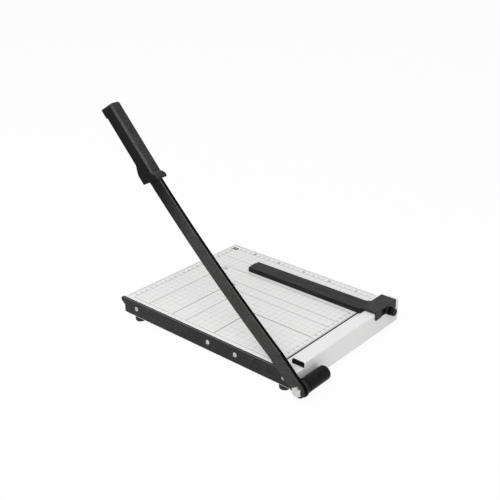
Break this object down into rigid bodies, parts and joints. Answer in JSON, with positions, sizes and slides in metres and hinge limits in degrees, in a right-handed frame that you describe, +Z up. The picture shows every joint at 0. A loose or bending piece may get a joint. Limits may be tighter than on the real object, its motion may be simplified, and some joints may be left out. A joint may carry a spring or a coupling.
{
  "type": "guillotine paper cutter",
  "caption": "Desktop guillotine paper cutter: printed steel bed, bowed lever blade with moulded handle, raised paper fence and sliding clamped T gauge.",
  "frame": {"origin": "on the table plane, under the middle of the cutter's footprint in its rest pose", "axes": "+X along the fixed blade towards the pivot, +Y away from the cut across the bed, +Z up out of the paper surface"},
  "size_m": [0.3515, 0.2626, 0.3332],
  "materials": {
    "bed_enamel": "light grey-white enamel, satin",
    "plug_plastic": "black moulding",
    "rail_black": "black coated steel, satin",
    "bright_zinc": "bright zinc plate",
    "foot_rubber": "black rubber",
    "bolt_steel": "bright zinc plate",
    "bush_black": "black oxide",
    "spring_steel": "plain steel wire",
    "cover_plastic": "black moulding",
    "arm_black": "black coated steel, satin",
    "grip_plastic": "black moulding, slight sheen",
    "gauge_plastic": "dark grey moulding",
    "brass": "turned",
    "pad_rubber": "black",
    "knob_plastic": "black moulding"
  },
  "bodies": {
    "base": {"base_board": "bed_enamel", "ridge_end_plug_front": "plug_plastic", "ridge_end_plug_rear": "plug_plastic", "fixed_blade": "rail_black", "rail_screws": "bright_zinc", "rail_nuts": "bright_zinc", "rubber_foot_front_left": "foot_rubber", "rubber_foot_front_right": "foot_rubber", "rubber_foot_rear_left": "foot_rubber", "rubber_foot_rear_right": "foot_rubber", "foot_screws": "bright_zinc", "foot_nuts": "bright_zinc", "pivot_bolt": "bolt_steel", "pivot_bush": "bush_black", "pressure_spring": "spring_steel", "thrust_washer": "bolt_steel", "lock_nut": "bolt_steel", "spring_cover": "cover_plastic"},
    "arm": {"blade_arm": "arm_black", "handle_grip": "grip_plastic"},
    "gauge": {"paper_gauge": "gauge_plastic", "clamp_insert": "brass"},
    "clamp_pad": {"clamp_pad": "pad_rubber"},
    "knob": {"clamp_screw": "bright_zinc", "clamp_knob": "knob_plastic"}
  },
  "joints": [
    {"name": "arm_hinge", "type": "hinge", "parent": "base", "child": "arm", "pos_m": [0.16325, -0.1223, 0.0187], "axis": [0, 1, 0], "range_deg": [-39.5, 43]},
    {"name": "gauge_slide", "type": "slide", "parent": "base", "child": "gauge", "axis": [0, 1, 0], "range_m": [-0.1635, 0.0125]},
    {"name": "pad_slide", "type": "slide", "parent": "gauge", "child": "clamp_pad", "axis": [1, 0, 0], "range_m": [0, 0.00105]},
    {"name": "knob_turn", "type": "hinge", "parent": "clamp_pad", "child": "knob", "pos_m": [0.16075, 0.1013, 0.036], "axis": [1, 0, 0], "range_deg": [0, 541]}
  ],
  "couplings": [
    {"joint": "knob_turn", "follows": "pad_slide", "rad_per_m": 8976}
  ]
}
